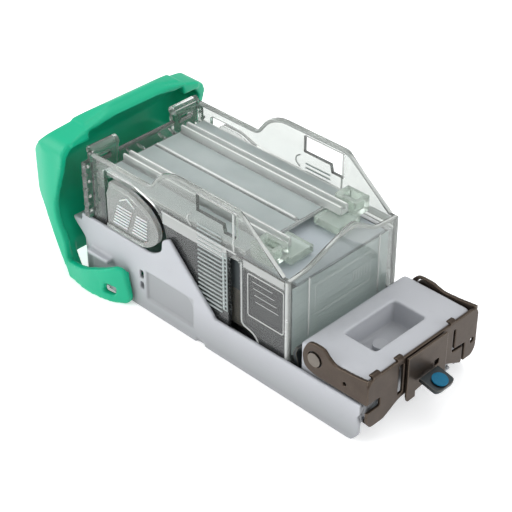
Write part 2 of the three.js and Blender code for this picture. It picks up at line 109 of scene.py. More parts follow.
# One material, or the studio's world, and its nodes.
class Shade:
    def __init__(self, name, kind="materials"):
        self.owner = getattr(bpy.data, kind).new(name)
        self.owner.use_nodes = True
        self.tree = self.owner.node_tree
        self.tree.nodes.clear()
        self.place = self.node("ShaderNodeTexCoord", out="Object")

    def node(self, kind, settings=None, sockets=None, out=0):
        made = self.tree.nodes.new(kind)
        for key, value in (settings or {}).items():
            if key == "stops":
                for element, (position, color) in zip(made.color_ramp.elements, value):
                    element.position = position
                    element.color = color
            else:
                setattr(made, key, value)
        for key, value in (sockets or {}).items():
            if isinstance(value, Wire):
                self.tree.links.new(value.socket, made.inputs[key])
            else:
                made.inputs[key].default_value = value
        return Wire(self, made.outputs[out] if made.outputs else None)

    def number(self, operation, first, second):
        return self.node("ShaderNodeMath", {"operation": operation}, {0: first, 1: second})

    # Colours are wires, or red, green and blue.
    def mix(self, factor, first, second):
        first, second = [linear(color) if isinstance(color, tuple) else color for color in (first, second)]
        return self.node("ShaderNodeMix", {"data_type": "RGBA"}, {0: factor, 6: first, 7: second}, out=2)

    # The place, scaled along each axis to draw the noise out.
    def stretched(self, x, y, z):
        return self.node("ShaderNodeVectorMath", {"operation": "MULTIPLY"}, {0: self.place, 1: (x, y, z)})

    # Noise with grains about size millimetres across.
    def noise(self, size, detail, place=None, roughness=0.5):
        sockets = {"Scale": 1 / (size * mm), "Detail": detail, "Roughness": roughness}
        return self.node("ShaderNodeTexNoise", {}, {"Vector": place or self.place, **sockets})

    # 0 below low, 1 above high, and smooth between them.
    def ramp(self, value, low, high):
        stops = [(low, (0, 0, 0, 1)), (high, (1, 1, 1, 1))]
        return self.node("ShaderNodeValToRGB", {"stops": stops}, {"Fac": value})

    # Light along edges, as wide as radius millimetres.
    def edges(self, radius, low, high):
        soft = self.node("ShaderNodeBevel", {"samples": 4}, {"Radius": radius * mm})
        flat = self.node("ShaderNodeNewGeometry", out="Normal")
        facing = self.node("ShaderNodeVectorMath", {"operation": "DOT_PRODUCT"}, {0: soft, 1: flat}, out=1)
        return self.ramp(1 - facing, low, high)

    # 0 at start millimetres along an axis, 1 at end.
    def span(self, axis, start, end):
        value = self.node("ShaderNodeSeparateXYZ", {}, {0: self.place}, out=axis)
        return self.node("ShaderNodeMapRange", {}, {0: value, 1: start * mm, 2: end * mm, 3: 0.0, 4: 1.0})

    # 1 between two places along an axis, with soft ends.
    def within(self, axis, start, end, soft=0.8):
        return self.span(axis, start - soft, start) * (1 - self.span(axis, end, end + soft))

    def bump(self, height, depth, strength):
        sockets = {"Height": height, "Distance": depth * mm, "Strength": strength}
        return self.node("ShaderNodeBump", {}, sockets)

    def surface(self, sockets):
        shader = self.node("ShaderNodeBsdfPrincipled", {}, sockets)
        self.node("ShaderNodeOutputMaterial", {}, {"Surface": shader})
        return self.owner


# cloud, grain and the like are sizes of noise
greenFinish = {
    "bright": (12, 180, 138), "deep": (6, 168, 126), "worn": (80, 204, 166), "wear": 0.25, "edge": 0.8,
    "cloud": 22, "grain": 0.35, "scuff": 1.4, "roughness": 0.37, "bump": 0.02, "bumpStrength": 0.35,
    "subsurface": 0.08, "scatter": 0.6, "specular": 0.35,
}


def greenPlastic(look):
    shade = Shade("greenPlastic")
    cloud = shade.noise(look["cloud"], 3)
    grain = shade.noise(look["grain"], 2)
    scuff = shade.ramp(shade.noise(look["scuff"], 4, shade.stretched(1, 6, 1)), 0.62, 0.78)
    color = shade.mix(cloud, look["deep"], look["bright"])
    color = shade.mix(shade.edges(look["edge"], 0.01, 0.12) * look["wear"], color, look["worn"])
    return shade.surface({
        "Base Color": color,
        "Roughness": grain * 0.1 + scuff * 0.08 + look["roughness"],
        "Normal": shade.bump(grain + cloud * 0.5, look["bump"], look["bumpStrength"]),
        "Subsurface Weight": look["subsurface"],
        "Subsurface Scale": look["scatter"] * mm,
        "Specular IOR Level": look["specular"],
    })


# pairs of numbers are where a mask along that axis starts and ends
milkyFinish = {
    "base": (184, 186, 191), "shade": (176, 179, 184), "cloud": 16, "grain": 0.3,
    # low is the greyer colour of the painted shade on the lower rails, the recessed panels and the pocket
    "dirt": (132, 134, 137), "dirtShade": 0.12, "dirtSize": 5, "low": (138, 141, 143),
    # how strongly painted shade greys the lower rails, below railZ
    "railPaintedShade": 0.85, "railZ": (2, 14),
    # how strongly painted shade greys the recessed side panels
    "panelPaintedShade": 0.75, "panelX": (-24, -3), "panelY": (-24.7, 24.7), "panelZ": (5, 15.5),
    # how strongly painted shade greys the head's pocket
    "pocketPaintedShade": 0.35, "pocketX": (46, 57), "pocketY": (-10.7, 10.7), "pocketZ": (14, 21),
    # front is the dark colour of the painted shadow on the head's front behind the face plate
    "front": (48, 45, 42), "frontPaintedLighting": 0.6, "frontX": (64.0, 64.4), "frontZ": (8, 9),
    "roughness": 0.38, "bump": 0.02, "bumpStrength": 0.3,
    "subsurface": 0.3, "scatter": 1.6, "scatterColor": (1.0, 1.0, 1.1),
}


# Painted shade: the lower rails, the recessed panels, the head's pocket and the head's front behind the plate
# are painted greyer.
def milkyPlastic(look):
    shade = Shade("milkyPlastic")
    cloud = shade.noise(look["cloud"], 3)
    grain = shade.noise(look["grain"], 2)
    dirt = shade.ramp(shade.noise(look["dirtSize"], 5), 0.6, 0.8)
    # painted shade: mask of the lower rails
    rail = 1 - shade.span("Z", *look["railZ"])
    # painted shade: mask of the recessed side panels
    panel = shade.within("X", *look["panelX"]) * shade.within("Z", *look["panelZ"])
    panel = panel * shade.within("Y", *look["panelY"])
    # painted shade: mask of the head's pocket
    pocket = shade.within("X", *look["pocketX"], 0.4) * shade.within("Y", *look["pocketY"], 0.3)
    pocket = pocket * shade.within("Z", *look["pocketZ"])
    # painted shadow: mask of the head's front behind the face plate
    front = shade.span("X", *look["frontX"]) * shade.span("Z", *look["frontZ"])
    color = shade.mix(cloud, look["shade"], look["base"])
    color = shade.mix(dirt * look["dirtShade"], color, look["dirt"])
    color = shade.mix(rail * look["railPaintedShade"], color, look["low"])
    color = shade.mix(panel * look["panelPaintedShade"], color, look["low"])
    color = shade.mix(pocket * look["pocketPaintedShade"], color, look["low"])
    color = shade.mix(front * look["frontPaintedLighting"], color, look["front"])
    return shade.surface({
        "Base Color": color,
        "Roughness": grain * 0.1 + dirt * 0.06 + look["roughness"],
        "Normal": shade.bump(grain + cloud, look["bump"], look["bumpStrength"]),
        "Subsurface Weight": look["subsurface"],
        "Subsurface Scale": look["scatter"] * mm,
        "Subsurface Radius": look["scatterColor"],
    })


# tint, haze, clearness and roughness of each clear plastic
clearLooks = {
    "clear": ((224, 227, 224), (213, 217, 214), 0.92, 0.04),
    "frosted": ((246, 248, 246), (236, 240, 238), 0.5, 0.22),
    "lid": ((250, 252, 250), (242, 246, 244), 0.66, 0.1),
    "pad": ((232, 235, 232), (222, 226, 223), 0.78, 0.1),
    # the bright white of the painted highlights along the lid's edges
    "paintedHighlight": ((250, 252, 250), (240, 245, 242), 0.3, 0.2),
    "pane": ((214, 223, 222), (184, 196, 195), 0.45, 0.28),
    "tinted": ((240, 248, 241), (230, 243, 233), 0.75, 0.08),
}
clearFinish = {
    "ior": 1.43, "specular": 0.6, "cloud": 9, "scratch": 0.9, "wave": 5, "bump": 0.02, "bumpStrength": 0.2,
    # painted shade: the lower walls of the case, in front of the staples, are painted darker
    "wall": (166, 169, 169), "wallTop": (35.6, 36.8), "wallFront": (33.6, 34.2), "wallRear": (-47, -45),
}


def clearPlastic(name, tint, haze, clearness, roughness):
    shade = Shade(name + "Plastic")
    cloud = shade.noise(clearFinish["cloud"], 3)
    scratch = shade.ramp(shade.noise(clearFinish["scratch"], 3, shade.stretched(0.3, 3, 3)), 0.6, 0.8)
    color = shade.mix(cloud, haze, tint)
    if name == "clear":
        # painted shade: darker lower walls in front of the staples
        below = 1 - shade.span("Z", *clearFinish["wallTop"])
        between = (1 - shade.span("X", *clearFinish["wallFront"])) * shade.span("X", *clearFinish["wallRear"])
        color = shade.mix(below * between, color, clearFinish["wall"])
    waves = shade.noise(clearFinish["wave"], 2) + scratch * 0.02
    return shade.surface({
        "Base Color": color,
        "Roughness": cloud * 0.05 + scratch * 0.06 + roughness,
        "Normal": shade.bump(waves, clearFinish["bump"], clearFinish["bumpStrength"]),
        "Transmission Weight": clearness,
        "IOR": clearFinish["ior"],
        "Specular IOR Level": clearFinish["specular"],
    })


# wire is the width of one staple wire; front is the painted light on the stack's front face, and glow stands
# in for the light that clear walls keep out
stapleFinish = {
    "wire": 0.9, "light": (92, 94, 95), "dark": (44, 46, 47), "cloud": 7, "grain": 0.5,
    "front": (216, 226, 227), "frontX": (33.2, 33.6), "frontPaintedLighting": 0.95, "glow": (120, 128, 128),
    "glowStrength": 0.6, "metal": 0.3, "roughness": 0.32, "bump": 0.06, "bumpStrength": 0.4,
}


def stapleSteel(look):
    shade = Shade("stapleSteel")
    cloud = shade.noise(look["cloud"], 4)
    grain = shade.noise(look["grain"], 3, shade.stretched(1, 1, 3))
    bands = {"wave_type": "BANDS", "bands_direction": "X", "wave_profile": "SIN"}
    scale = 0.314 / (look["wire"] * mm)  # one band is as wide as one wire
    sockets = {"Vector": shade.place, "Scale": scale, "Distortion": 0.4, "Detail": 1.0}
    wires = shade.node("ShaderNodeTexWave", bands, sockets, out=1)
    # painted light: the stack's front face is painted lighter and made to glow
    front = shade.span("X", *look["frontX"])
    color = shade.mix(cloud * 0.7 + wires * 0.3, look["dark"], look["light"])
    color = shade.mix(front * look["frontPaintedLighting"], color, look["front"])
    return shade.surface({
        "Base Color": color,
        "Roughness": grain * 0.2 + look["roughness"],
        "Metallic": look["metal"],
        "Emission Color": shade.mix(front, (0, 0, 0), look["glow"]),
        "Emission Strength": look["glowStrength"],
        "Normal": shade.bump(wires + grain * 0.1, look["bump"], look["bumpStrength"]),
    })


steelFinish = {
    "bright": (176, 178, 180), "dull": (138, 140, 143), "pinBright": (128, 122, 114), "pinDull": (92, 86, 80),
    "cloud": 6, "brush": 0.6, "metal": 0.95, "roughness": 0.24, "bump": 0.02, "bumpStrength": 0.4,
}


def plateSteel(name, bright, dull):
    shade = Shade(name)
    brushed = shade.noise(steelFinish["brush"], 3, shade.stretched(0.15, 2, 2))
    cloud = shade.noise(steelFinish["cloud"], 3)
    return shade.surface({
        "Base Color": shade.mix(cloud, dull, bright),
        "Roughness": brushed * 0.2 + steelFinish["roughness"],
        "Metallic": steelFinish["metal"],
        "Normal": shade.bump(brushed, steelFinish["bump"], steelFinish["bumpStrength"]),
    })


darkFinish = {
    "base": (52, 58, 60), "worn": (120, 112, 96), "dust": (70, 74, 76), "wear": 0.9, "edge": 0.4,
    "cloud": 3, "grain": 0.5, "metal": 0.8, "roughness": 0.26, "bump": 0.01, "bumpStrength": 0.4,
}


def darkSteel(look):
    shade = Shade("darkSteel")
    cloud = shade.noise(look["cloud"], 3)
    color = shade.mix(shade.edges(look["edge"], 0.01, 0.1) * look["wear"], look["base"], look["worn"])
    return shade.surface({
        "Base Color": shade.mix(cloud * 0.3, color, look["dust"]),
        "Roughness": cloud * 0.14 + look["roughness"],
        "Metallic": look["metal"],
        "Normal": shade.bump(shade.noise(look["grain"], 2), look["bump"], look["bumpStrength"]),
    })


bronzeFinish = {
    "base": (92, 80, 70), "shade": (46, 39, 34), "worn": (150, 136, 120), "wear": 0.6, "edge": 0.35,
    "cloud": 6, "grain": 0.35, "smear": 2.2, "metal": 0.82, "roughness": 0.3,
    "bump": 0.025, "bumpStrength": 0.4,
}


def bronzePlate(look):
    shade = Shade("bronzePlate")
    cloud = shade.noise(look["cloud"], 4, roughness=0.6)
    grain = shade.noise(look["grain"], 3)
    smear = shade.ramp(shade.noise(look["smear"], 4, shade.stretched(1, 1, 3)), 0.55, 0.75)
    color = shade.mix(cloud * 0.6 + grain * 0.4, look["shade"], look["base"])
    color = shade.mix(shade.edges(look["edge"], 0.01, 0.1) * look["wear"], color, look["worn"])
    return shade.surface({
        "Base Color": color,
        "Roughness": grain * 0.12 + smear * 0.1 + look["roughness"],
        "Metallic": look["metal"] - smear * 0.1,
        "Normal": shade.bump(grain + cloud * 0.6, look["bump"], look["bumpStrength"]),
    })


blueFinish = {
    "deep": (8, 92, 124), "bright": (14, 110, 144), "cloud": 1.2, "grain": 0.4,
    "roughness": 0.45, "specular": 0.25, "bump": 0.02, "bumpStrength": 0.4,
}


def bluePaint(look):
    shade = Shade("bluePaint")
    cloud = shade.noise(look["cloud"], 3)
    return shade.surface({
        "Base Color": shade.mix(cloud, look["deep"], look["bright"]),
        "Roughness": cloud * 0.15 + look["roughness"],
        "Specular IOR Level": look["specular"],
        "Normal": shade.bump(shade.noise(look["grain"], 2), look["bump"], look["bumpStrength"]),
    })


whiteFinish = {
    "deep": (206, 212, 214), "bright": (224, 229, 230), "cloud": 5, "grain": 0.4,
    "roughness": 0.34, "subsurface": 0.25, "scatter": 1.0, "bump": 0.02, "bumpStrength": 0.3,
}
greyFinish = {
    "deep": (172, 181, 187), "bright": (188, 196, 201), "cloud": 8, "grain": 0.4,
    "roughness": 0.4, "subsurface": 0.0, "scatter": 1.0, "bump": 0.02, "bumpStrength": 0.3,
}


def mouldedPlastic(name, look):
    shade = Shade(name)
    cloud = shade.noise(look["cloud"], 3)
    grain = shade.noise(look["grain"], 2)
    return shade.surface({
        "Base Color": shade.mix(cloud, look["deep"], look["bright"]),
        "Roughness": grain * 0.12 + look["roughness"],
        "Normal": shade.bump(grain, look["bump"], look["bumpStrength"]),
        "Subsurface Weight": look["subsurface"],
        "Subsurface Scale": look["scatter"] * mm,
    })


finishes = {
    "green": greenPlastic(greenFinish),
    "milky": milkyPlastic(milkyFinish),
    "staple": stapleSteel(stapleFinish),
    "steel": plateSteel("plateSteel", steelFinish["bright"], steelFinish["dull"]),
    "pin": plateSteel("pinSteel", steelFinish["pinBright"], steelFinish["pinDull"]),
    "dark": darkSteel(darkFinish),
    "bronze": bronzePlate(bronzeFinish),
    "blue": bluePaint(blueFinish),
    "white": mouldedPlastic("whitePlastic", whiteFinish),
    "grey": mouldedPlastic("greyPlastic", greyFinish),
}
for name, values in clearLooks.items():
    finishes[name] = clearPlastic(name, *values)
print("finishes made:", len(finishes))


def addBox(mesh, low, high):
    size = [h - l for l, h in zip(low, high)]
    middle = [(h + l) / 2 * mm for l, h in zip(low, high)]
    place = Matrix.Translation(middle) @ Matrix.Diagonal([s * mm for s in size] + [1])
    bmesh.ops.create_cube(mesh, size=1, matrix=place)


# Box on one side of the cartridge, near and far from its middle plane.
def addSideBox(mesh, sign, near, far, rear, front, low, high):
    inner, outer = sorted((sign * near, sign * far))
    addBox(mesh, (rear, inner, low), (front, outer, high))


# Closed round bar through points given in millimetres.
def addTube(mesh, points, radius, steps=8):
    widest = 1.3  # keeps a sharp bend from swelling
    path = [Vector(p) * mm for p in points]
    count = len(path)
    normal = None
    rings = []
    for i, point in enumerate(path):
        ahead = (path[min(i + 1, count - 1)] - point).normalized()
        behind = (point - path[max(i - 1, 0)]).normalized()
        along = (ahead + behind).normalized()
        if normal is None:
            normal = along.orthogonal().normalized()
        normal = (normal - along * normal.dot(along)).normalized()
        other = along.cross(normal)
        widen = 1 / max(0.5, along.dot(ahead if ahead.length else behind))
        ring = []
        for k in range(steps):
            angle = 2 * math.pi * k / steps
            offset = normal * math.cos(angle) + other * math.sin(angle)
            ring.append(mesh.verts.new(point + offset * radius * mm * min(widen, widest)))
        rings.append(ring)
    for first, second in zip(rings, rings[1:]):
        for k in range(steps):
            mesh.faces.new((first[k], first[(k + 1) % steps], second[(k + 1) % steps], second[k]))
    mesh.faces.new(list(reversed(rings[0])))
    mesh.faces.new(rings[-1])


# Polyline with its corners rounded over reach millimetres. A straight line stays as it is.
def rounded(points, reach):
    steps = 4
    share = 0.45  # of a stretch that each of its two corners may take up
    path = [Vector(points[0])]
    for before, corner, after in zip(points, points[1:], points[2:]):
        before, corner, after = Vector(before), Vector(corner), Vector(after)
        room = min(reach, (before - corner).length * share, (after - corner).length * share)
        start = corner + (before - corner).normalized() * room
        end = corner + (after - corner).normalized() * room
        for k in range(steps + 1):
            t = k / steps
            path.append(start * (1 - t) ** 2 + corner * 2 * t * (1 - t) + end * t * t)
    path.append(Vector(points[-1]))
    return path


def onSide(outline, y):
    return [(x, y, z) for x, z in outline]


def onFront(outline, x):
    return [(x, y, z) for y, z in outline]


# The modifiers become the mesh.
def settle(piece):
    graph = bpy.context.evaluated_depsgraph_get()
    final = bpy.data.meshes.new_from_object(piece.evaluated_get(graph))
    piece.modifiers.clear()
    piece.data = final


def soften(piece, width, segments, angle):
    bevel = piece.modifiers.new("soften", "BEVEL")
    bevel.width = width * mm
    bevel.segments = segments
    bevel.limit_method = "ANGLE"
    bevel.angle_limit = math.radians(angle)


pieceAngle = 35  # sharper edges than this are rounded, in degrees


def newPiece(name, mesh, bevel=0.0, segments=2):
    bmesh.ops.recalc_face_normals(mesh, faces=mesh.faces)
    data = bpy.data.meshes.new(name)
    mesh.to_mesh(data)
    mesh.free()
    piece = bpy.data.objects.new(name, data)
    bpy.context.scene.collection.objects.link(piece)
    if bevel:
        soften(piece, bevel, segments, pieceAngle)
        settle(piece)
    return piece


# A spring between two bodies has no body of its own.
def dress(piece, finish, body):
    piece.data.materials.clear()
    piece.data.materials.append(finishes[finish])
    piece.data.polygons.foreach_set("use_smooth", [True] * len(piece.data.polygons))
    weigh = piece.modifiers.new("weigh", "WEIGHTED_NORMAL")
    weigh.mode = "FACE_AREA"
    weigh.weight = 100
    settle(piece)
    if body:
        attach(piece, body)


# Piece of the clear case or its lid.
def casePiece(name, mesh, finish, bevel=0.0):
    dress(newPiece(name, mesh, bevel), finish, "refill")


# body, finish, slot, voxel size, smoothing passes and share of faces kept
# voxel size and smoothing passes set how round the edges are
softNodes = {
    "handle_shell": ("frame", "green", "green_plastic", 0.45, 8, 0.3),
    "frame_channel": ("frame", "milky", "milky_plastic", 0.4, 3, 0.3),
    "head_block": ("frame", "milky", "milky_plastic", 0.35, 8, 0.3),
    "guide_block_left": ("refill", "tinted", "tinted_clear_plastic", 0.22, 2, 0.4),
    "guide_block_right": ("refill", "tinted", "tinted_clear_plastic", 0.22, 2, 0.4),
    "face_plate": ("face", "bronze", "bronze_plate", 0.2, 2, 0.4),
    "gate_plate": ("gate", "bronze", "bronze_plate", 0.18, 2, 0.4),
    "lift_tab": ("gate", "dark", "dark_steel", 0.16, 3, 0.5),
}
softLook = {"merge": 0.0005, "smoothing": 0.5, "quickVoxel": 1.5}


# Copy of a CAD node with moulded or tumbled edges, standing for the node.
def softened(node, body, finish, slot, voxel, passes, keep):
    mesh = bmesh.new()
    mesh.from_mesh(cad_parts[node].data)
    bmesh.ops.remove_doubles(mesh, verts=mesh.verts, dist=softLook["merge"] * mm)
    piece = newPiece(node + "_skin", mesh)
    remesh = piece.modifiers.new("remesh", "REMESH")
    remesh.mode = "VOXEL"
    remesh.voxel_size = voxel * mm * 1
    smooth = piece.modifiers.new("smooth", "SMOOTH")
    smooth.factor = softLook["smoothing"]
    smooth.iterations = passes
    thin = piece.modifiers.new("thin", "DECIMATE")
    thin.ratio = keep
    settle(piece)
    dress(piece, finish, body)
    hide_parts(node)


for node, values in softNodes.items():
    softened(node, *values)
print("main mouldings and stampings made")

plainNodes = {
    "refill_case": "clear", "refill_lid": "lid", "pocket_boss": "milky", "pressure_plate": "grey",
    "feed_track": "steel", "feeding_sheet": "staple", "feed_leaf_spring": "steel", "feed_slider": "dark",
    "bending_anvil": "steel", "forming_plate": "steel", "driver_plate": "steel", "blue_dot": "blue",
}
# these have a left and a right node
pairNodes = {
    "pivot_pin": "pin", "head_screw": "dark", "case_clip": "dark", "end_guide": "steel",
    "squeeze_pad": "pad", "feed_pawl": "steel", "pawl_pin": "steel",
}
nodeEdges = {"weld": 0.001, "width": 0.12, "segments": 2, "angle": 40}


# CAD nodes whose shape is right keep their mesh and get a finish and small edge rounding.
def dressNodes():
    chosen = dict(plainNodes)
    for node, finish in pairNodes.items():
        for side, _ in sides:
            chosen[node + "_" + side] = finish
    for node, finish in chosen.items():
        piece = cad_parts[node]
        piece.data.materials.clear()
        piece.data.materials.append(finishes[finish])
        weld = piece.modifiers.new("weld", "WELD")
        weld.merge_threshold = nodeEdges["weld"] * mm
        soften(piece, nodeEdges["width"], nodeEdges["segments"], nodeEdges["angle"])


dressNodes()
print("small parts dressed")

stackLook = {"sheets": 40, "wobble": 0.14, "gap": 0.05, "bevel": 0.1, "seed": 7, "keep": 0.08}


# Loose sheets of wires, a little out of line.
def stapleStack():
    random.seed(stackLook["seed"])
    low, high = [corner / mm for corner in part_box("staple_stack")]
    pitch = (high.z - low.z) / stackLook["sheets"]
    mesh = bmesh.new()
    for i in range(stackLook["sheets"]):
        slipX = random.uniform(0, stackLook["wobble"])
        slipY = random.uniform(0, stackLook["wobble"])
        bottom = low.z + i * pitch
        addBox(mesh, (low.x + slipX, low.y + slipY, bottom),
               (high.x - slipX, high.y - slipY, bottom + pitch - stackLook["gap"]))
    piece = newPiece("staple_sheets", mesh, stackLook["bevel"], 1)
    dress(piece, "staple", "refill")
    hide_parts("staple_stack")
    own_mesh(piece)


stapleStack()
print("staple sheets stacked")

# centre x and y, radius at the bottom and top, wire radius, turns, body below and body above
coilSprings = {
    "pressure_spring_front": (6, 0, 7.6, 3.0, 0.3, 3, "pressure", "refill"),
    "pressure_spring_rear": (-10, 0, 7.6, 3.0, 0.3, 3, "pressure", "refill"),
    "forming_spring_left": (62.9, 14.6, 1.0, 1.0, 0.22, 5, "frame", "former"),
    "forming_spring_right": (62.9, -14.6, 1.0, 1.0, 0.22, 5, "frame", "former"),
}
stepsPerTurn = 18


# Open coil standing for a spring node, from the bottom to the top of the node, between the two bodies it
# joins.
def coilSpring(node, x, y, lowRadius, topRadius, wire, turns, below, above):
    low, high = [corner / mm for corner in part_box(node)]
    bottom, top = low.z + wire, high.z - wire
    steps = turns * stepsPerTurn
    points = []
    for k in range(steps + 1):
        t = k / steps
        angle = 2 * math.pi * turns * t
        radius = lowRadius + (topRadius - lowRadius) * t
        height = bottom + (top - bottom) * t
        points.append((x + radius * math.cos(angle), y + radius * math.sin(angle), height))
    mesh = bmesh.new()
    addTube(mesh, points, wire)
    piece = newPiece(node + "_coil", mesh)
    dress(piece, "steel", None)
    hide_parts(node)
    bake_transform(piece)


for node, values in coilSprings.items():
    coilSpring(node, *values)
print("springs wound")

slotGuideLook = {
    "near": 21.25, "far": 21.75, "bevel": 0.08,
    "parts": ((10.2, 16.9, 13.2, 38.6), (16.7, 23.2, 13.2, 16.0)),  # rear, front, low and high
    "ribs": 16, "ribLow": 13.8, "ribPitch": 0.8, "ribHeight": 0.35, "ribRear": 10.8, "ribFront": 16.3,
    "ribNear": 21.7, "ribFar": 21.95,
}


# Dark guide behind the long slot, between the wall and the staples.
def slotGuide(side, sign):
    look = slotGuideLook
    mesh = bmesh.new()
    for part in look["parts"]:
        addSideBox(mesh, sign, look["near"], look["far"], *part)
    for i in range(look["ribs"]):
        z = look["ribLow"] + i * look["ribPitch"]
        addSideBox(mesh, sign, look["ribNear"], look["ribFar"], look["ribRear"], look["ribFront"],
                   z, z + look["ribHeight"])
    piece = newPiece("case_slot_guide_" + side, mesh, look["bevel"])
    dress(piece, "dark", "refill")


ladderLook = {
    "near": 23.3, "far": 23.7, "bevel": 0.12,
    "bars": 19, "low": 16.2, "pitch": 1.5, "thick": 0.5, "rear": -1.6, "front": 8.6,
    # the two uprights, rear and front of each, and the rungs between them
    "rails": ((8.8, 9.6), (10.4, 10.8)), "railLow": 17.6, "railHigh": 38.4,
    "rungs": 15, "rungPitch": 20.4 / 14, "rungThick": 0.45, "rungRear": 9.5, "rungFront": 10.5,
}


# Wide bars on the wall of the case, and a narrow ladder in front of them.
def caseLadder(side, sign):
    look = ladderLook
    mesh = bmesh.new()
    for i in range(look["bars"]):
        z = look["low"] + i * look["pitch"]
        addSideBox(mesh, sign, look["near"], look["far"], look["rear"], look["front"], z, z + look["thick"])
    for rear, front in look["rails"]:
        addSideBox(mesh, sign, look["near"], look["far"], rear, front, look["railLow"], look["railHigh"])
    for i in range(look["rungs"]):
        z = look["railLow"] + i * look["rungPitch"]
        addSideBox(mesh, sign, look["near"], look["far"], look["rungRear"], look["rungFront"],
                   z, z + look["rungThick"])
    casePiece("case_ladder_" + side, mesh, "pane", look["bevel"])


# rounding of the corners, radius, depth into the wall, and the outline seen from the side
beadLines = {
    "slot": (1.6, 0.3, 0, [(16.6, 38.6), (16.6, 16.6), (21.6, 15.4), (23.3, 13.4), (23.3, 12.1)]),
    "panel": (0.8, 0.2, 0, [(26.0, 36.2), (19.2, 36.2), (19.2, 21.2), (33.4, 21.2), (33.4, 36.2),
                            (26.0, 36.2)]),
    "corner": (0, 0.75, 0.5, [(34.5, 40.4), (34.5, 12.4)]),
    "shelf": (0, 0.3, 0, [(-17.0, 40.3), (14.6, 40.3)]),
    "hook": (1.2, 0.25, 0, [(-4.0, 45.6), (-5.6, 44.6), (-5.8, 42.6), (-4.0, 41.4)]),
    "post": (0, 0.35, 0.2, [(13.4, 40.6), (13.4, 53.6)]),
}
# the slips are how far forward each next mark's ends lie
beadLook = {
    "y": 23.45, "marks": 4, "markHigh": 34.0, "markPitch": 2.2, "markRear": 21.0, "markFront": 29.0,
    "rearSlip": 0.4, "frontSlip": 0.8, "markRadius": 0.1,
}


# Raised lines on the wall of the case, and plain marks inside the front panel.
def caseBeads(side, sign):
    look = beadLook
    mesh = bmesh.new()
    for reach, radius, depth, outline in beadLines.values():
        addTube(mesh, onSide(rounded(outline, reach), sign * (look["y"] - depth)), radius)
    for i in range(look["marks"]):
        z = look["markHigh"] - i * look["markPitch"]
        ends = [(look["markRear"] + i * look["rearSlip"], z), (look["markFront"] + i * look["frontSlip"], z)]
        addTube(mesh, onSide(ends, sign * look["y"]), look["markRadius"])
    casePiece("case_beads_" + side, mesh, "frosted")


bandLook = {
    "near": 23.3, "far": 23.55, "bevel": 0.08,
    "parts": ((-16.8, 10.6, 36.2, 40.0), (17.4, 33.6, 37.4, 40.0)),  # rear, front, low and high
}


# Thicker band of the wall above the staples.
def caseBand(side, sign):
    mesh = bmesh.new()
    for part in bandLook["parts"]:
        addSideBox(mesh, sign, bandLook["near"], bandLook["far"], *part)
    casePiece("case_band_" + side, mesh, "lid", bandLook["bevel"])


bumpLook = {
    "count": 7, "low": 26.0, "pitch": 2.7, "near": 24.6, "far": 25.4, "radius": 0.5,
    "path": [(-51.4, -0.5), (-49.6, 0), (-49.2, 0.5)],  # x, and height above each bump's middle
}


# Small bumps in two staggered rows down each rear flange.
def flangeBumps(side, sign):
    mesh = bmesh.new()
    for i in range(bumpLook["count"]):
        z = bumpLook["low"] + i * bumpLook["pitch"]
        y = sign * (bumpLook["far"] if i % 2 else bumpLook["near"])
        addTube(mesh, [(x, y, z + rise) for x, rise in bumpLook["path"]], bumpLook["radius"])
    casePiece("case_flange_bumps_" + side, mesh, "clear")


padMarkLook = {
    "y": 24.05, "low": 26.8, "pitch": 1.15, "bars": 7, "thick": 0.25, "slip": 0.4,
    # rear end, length, and how much shorter each next bar is
    "columns": ((-39.2, 6.6, 0), (-30.4, 6.6, 0.3)),
    "chevron": [(-35.6, 36.0), (-32.2, 38.0), (-28.8, 36.0)],
}


# Two columns of grip bars and a plain chevron above them.
def padMarks(side, sign):
    look = padMarkLook
    y = sign * look["y"]
    mesh = bmesh.new()
    for i in range(look["bars"]):
        z = look["low"] + i * look["pitch"]
        for rear, length, taper in look["columns"]:
            start = rear + i * look["slip"]
            addTube(mesh, onSide([(start, z), (start + length - i * taper, z)], y), look["thick"])
    addTube(mesh, onSide(look["chevron"], y), look["thick"])
    dress(newPiece("pad_marks_" + side, mesh), "white", "pad_" + side)


rimLook = {
    "radius": 0.55, "y": 22.75, "x": 34.9, "rounding": 2.5,
    "ear": [(33.0, 41.2), (15.8, 54.7), (-11.8, 54.7), (-17.3, 52.2), (-22.0, 46.1), (-49.0, 46.1)],
    "hump": [(-23.0, 40.9), (-16.5, 40.9), (-11.0, 42.6), (-6.0, 45.0), (0.0, 46.6), (4.0, 46.9),
             (9.0, 43.9), (14.0, 41.2), (23.0, 40.7)],
}


# Thickened upper edges of the case.
def caseRims():
    mesh = bmesh.new()
    for _, sign in sides:
        ear = onSide(rimLook["ear"], sign * rimLook["y"])
        addTube(mesh, rounded(ear, rimLook["rounding"]), rimLook["radius"])
    hump = onFront(rimLook["hump"], rimLook["x"])
    addTube(mesh, rounded(hump, rimLook["rounding"]), rimLook["radius"])
    casePiece("case_rims", mesh, "frosted")


frontBeadLook = {
    "x": 35.5, "edge": 15.2, "edgeLow": 17.6, "edgeHigh": 38.6, "edgeRadius": 0.3,
    "panel": [(0, 34.4), (11.5, 34.4), (11.5, 24.0), (-12.5, 24.0), (-12.5, 34.4), (0, 34.4)],
    "panelRounding": 0.8, "panelRadius": 0.07,
    "marks": 6, "markStart": 4.0, "markPitch": 1.2, "markLow": 27.0, "markHigh": 31.0, "markRadius": 0.08,
}


